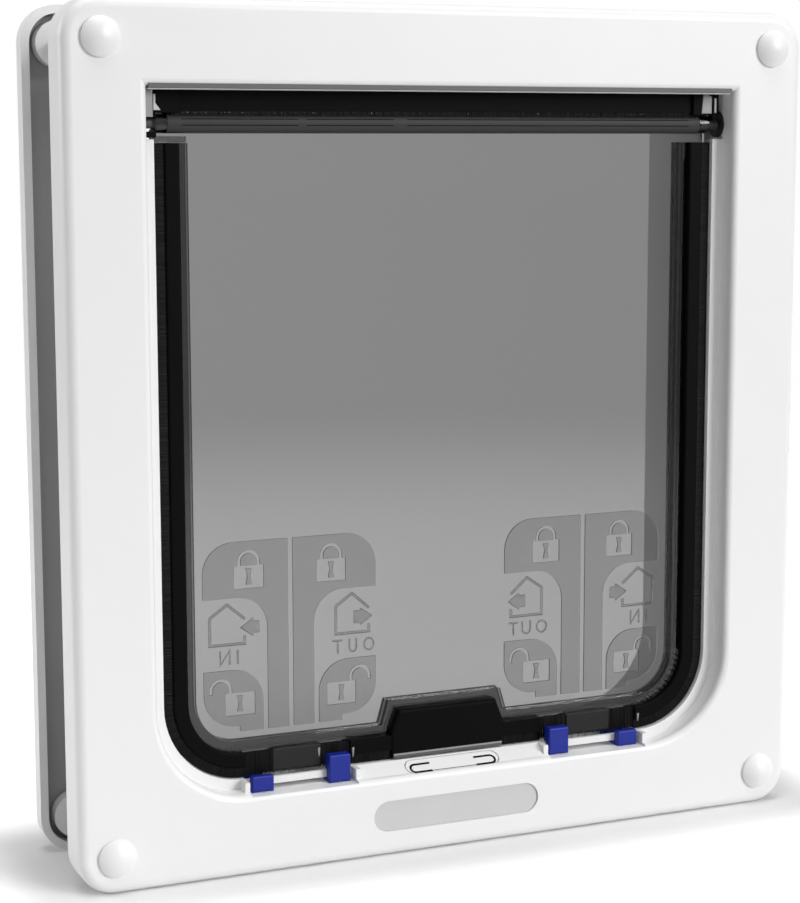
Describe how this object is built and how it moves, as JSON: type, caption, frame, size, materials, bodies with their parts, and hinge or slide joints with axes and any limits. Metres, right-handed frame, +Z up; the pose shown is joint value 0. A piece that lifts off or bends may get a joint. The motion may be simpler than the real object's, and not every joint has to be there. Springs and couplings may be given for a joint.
{
  "type": "cat flap",
  "caption": "Locking cat flap with front and rear door frames, a smoked flap on a top hinge with brush edges, a closing magnet and sliding catches in the sill.",
  "frame": {"origin": "bottom centre of the whole unit, on the surface it stands on", "axes": "+X to the right seen from the front, +Y from the front (catch noses) to the back, +Z up"},
  "size_m": [0.236, 0.055, 0.252],
  "materials": {
    "white_plastic": "smooth white moulded plastic with a soft sheen",
    "smoked_clear": "smoked clear plastic, glossy",
    "black_plastic": "black moulded plastic, semi-gloss",
    "dark_plastic": "dark grey moulded plastic, matt",
    "brush_pile": "dense black bristle pile",
    "blue_plastic": "royal blue moulded plastic",
    "zinc_screw": "zinc plated steel",
    "magnet": "dark magnet bar"
  },
  "bodies": {
    "frame": {"front_frame": "white_plastic", "rear_frame": "white_plastic", "screw_cap_bottom_left": "white_plastic", "screw_cap_bottom_right": "white_plastic", "screw_cap_top_left": "white_plastic", "screw_cap_top_right": "white_plastic", "fixing_screws": "zinc_screw", "top_seal_holder": "black_plastic", "top_seal_brush": "brush_pile", "sill_magnet_cover": "white_plastic", "sill_magnet": "magnet", "pivot_bush_left": "dark_plastic", "pivot_bush_right": "dark_plastic"},
    "flap": {"flap_panel": "smoked_clear", "magnet_housing": "black_plastic", "flap_magnet": "magnet", "hinge_pin_left": "dark_plastic", "hinge_pin_right": "dark_plastic", "edge_strip_left": "black_plastic", "edge_strip_right": "black_plastic", "edge_brush_left": "brush_pile", "edge_brush_right": "brush_pile", "bottom_brush_left": "brush_pile", "bottom_brush_right": "brush_pile", "lock_lug_left": "dark_plastic", "lock_lug_right": "dark_plastic"},
    "out_catch_left": {"out_catch_left": "blue_plastic"},
    "out_catch_right": {"out_catch_right": "blue_plastic"},
    "in_catch_left": {"in_catch_left": "blue_plastic"},
    "in_catch_right": {"in_catch_right": "blue_plastic"}
  },
  "joints": [
    {"name": "flap_hinge", "type": "hinge", "parent": "frame", "child": "flap", "pos_m": [0, -0.0143, 0.21805], "axis": [1, 0, 0], "range_deg": [-85, 85]},
    {"name": "out_catch_left_slide", "type": "slide", "parent": "frame", "child": "out_catch_left", "axis": [-1, 0, 0], "range_m": [0, 0.008]},
    {"name": "out_catch_right_slide", "type": "slide", "parent": "frame", "child": "out_catch_right", "axis": [1, 0, 0], "range_m": [0, 0.008]},
    {"name": "in_catch_left_slide", "type": "slide", "parent": "frame", "child": "in_catch_left", "axis": [1, 0, 0], "range_m": [0, 0.008]},
    {"name": "in_catch_right_slide", "type": "slide", "parent": "frame", "child": "in_catch_right", "axis": [-1, 0, 0], "range_m": [0, 0.008]}
  ]
}
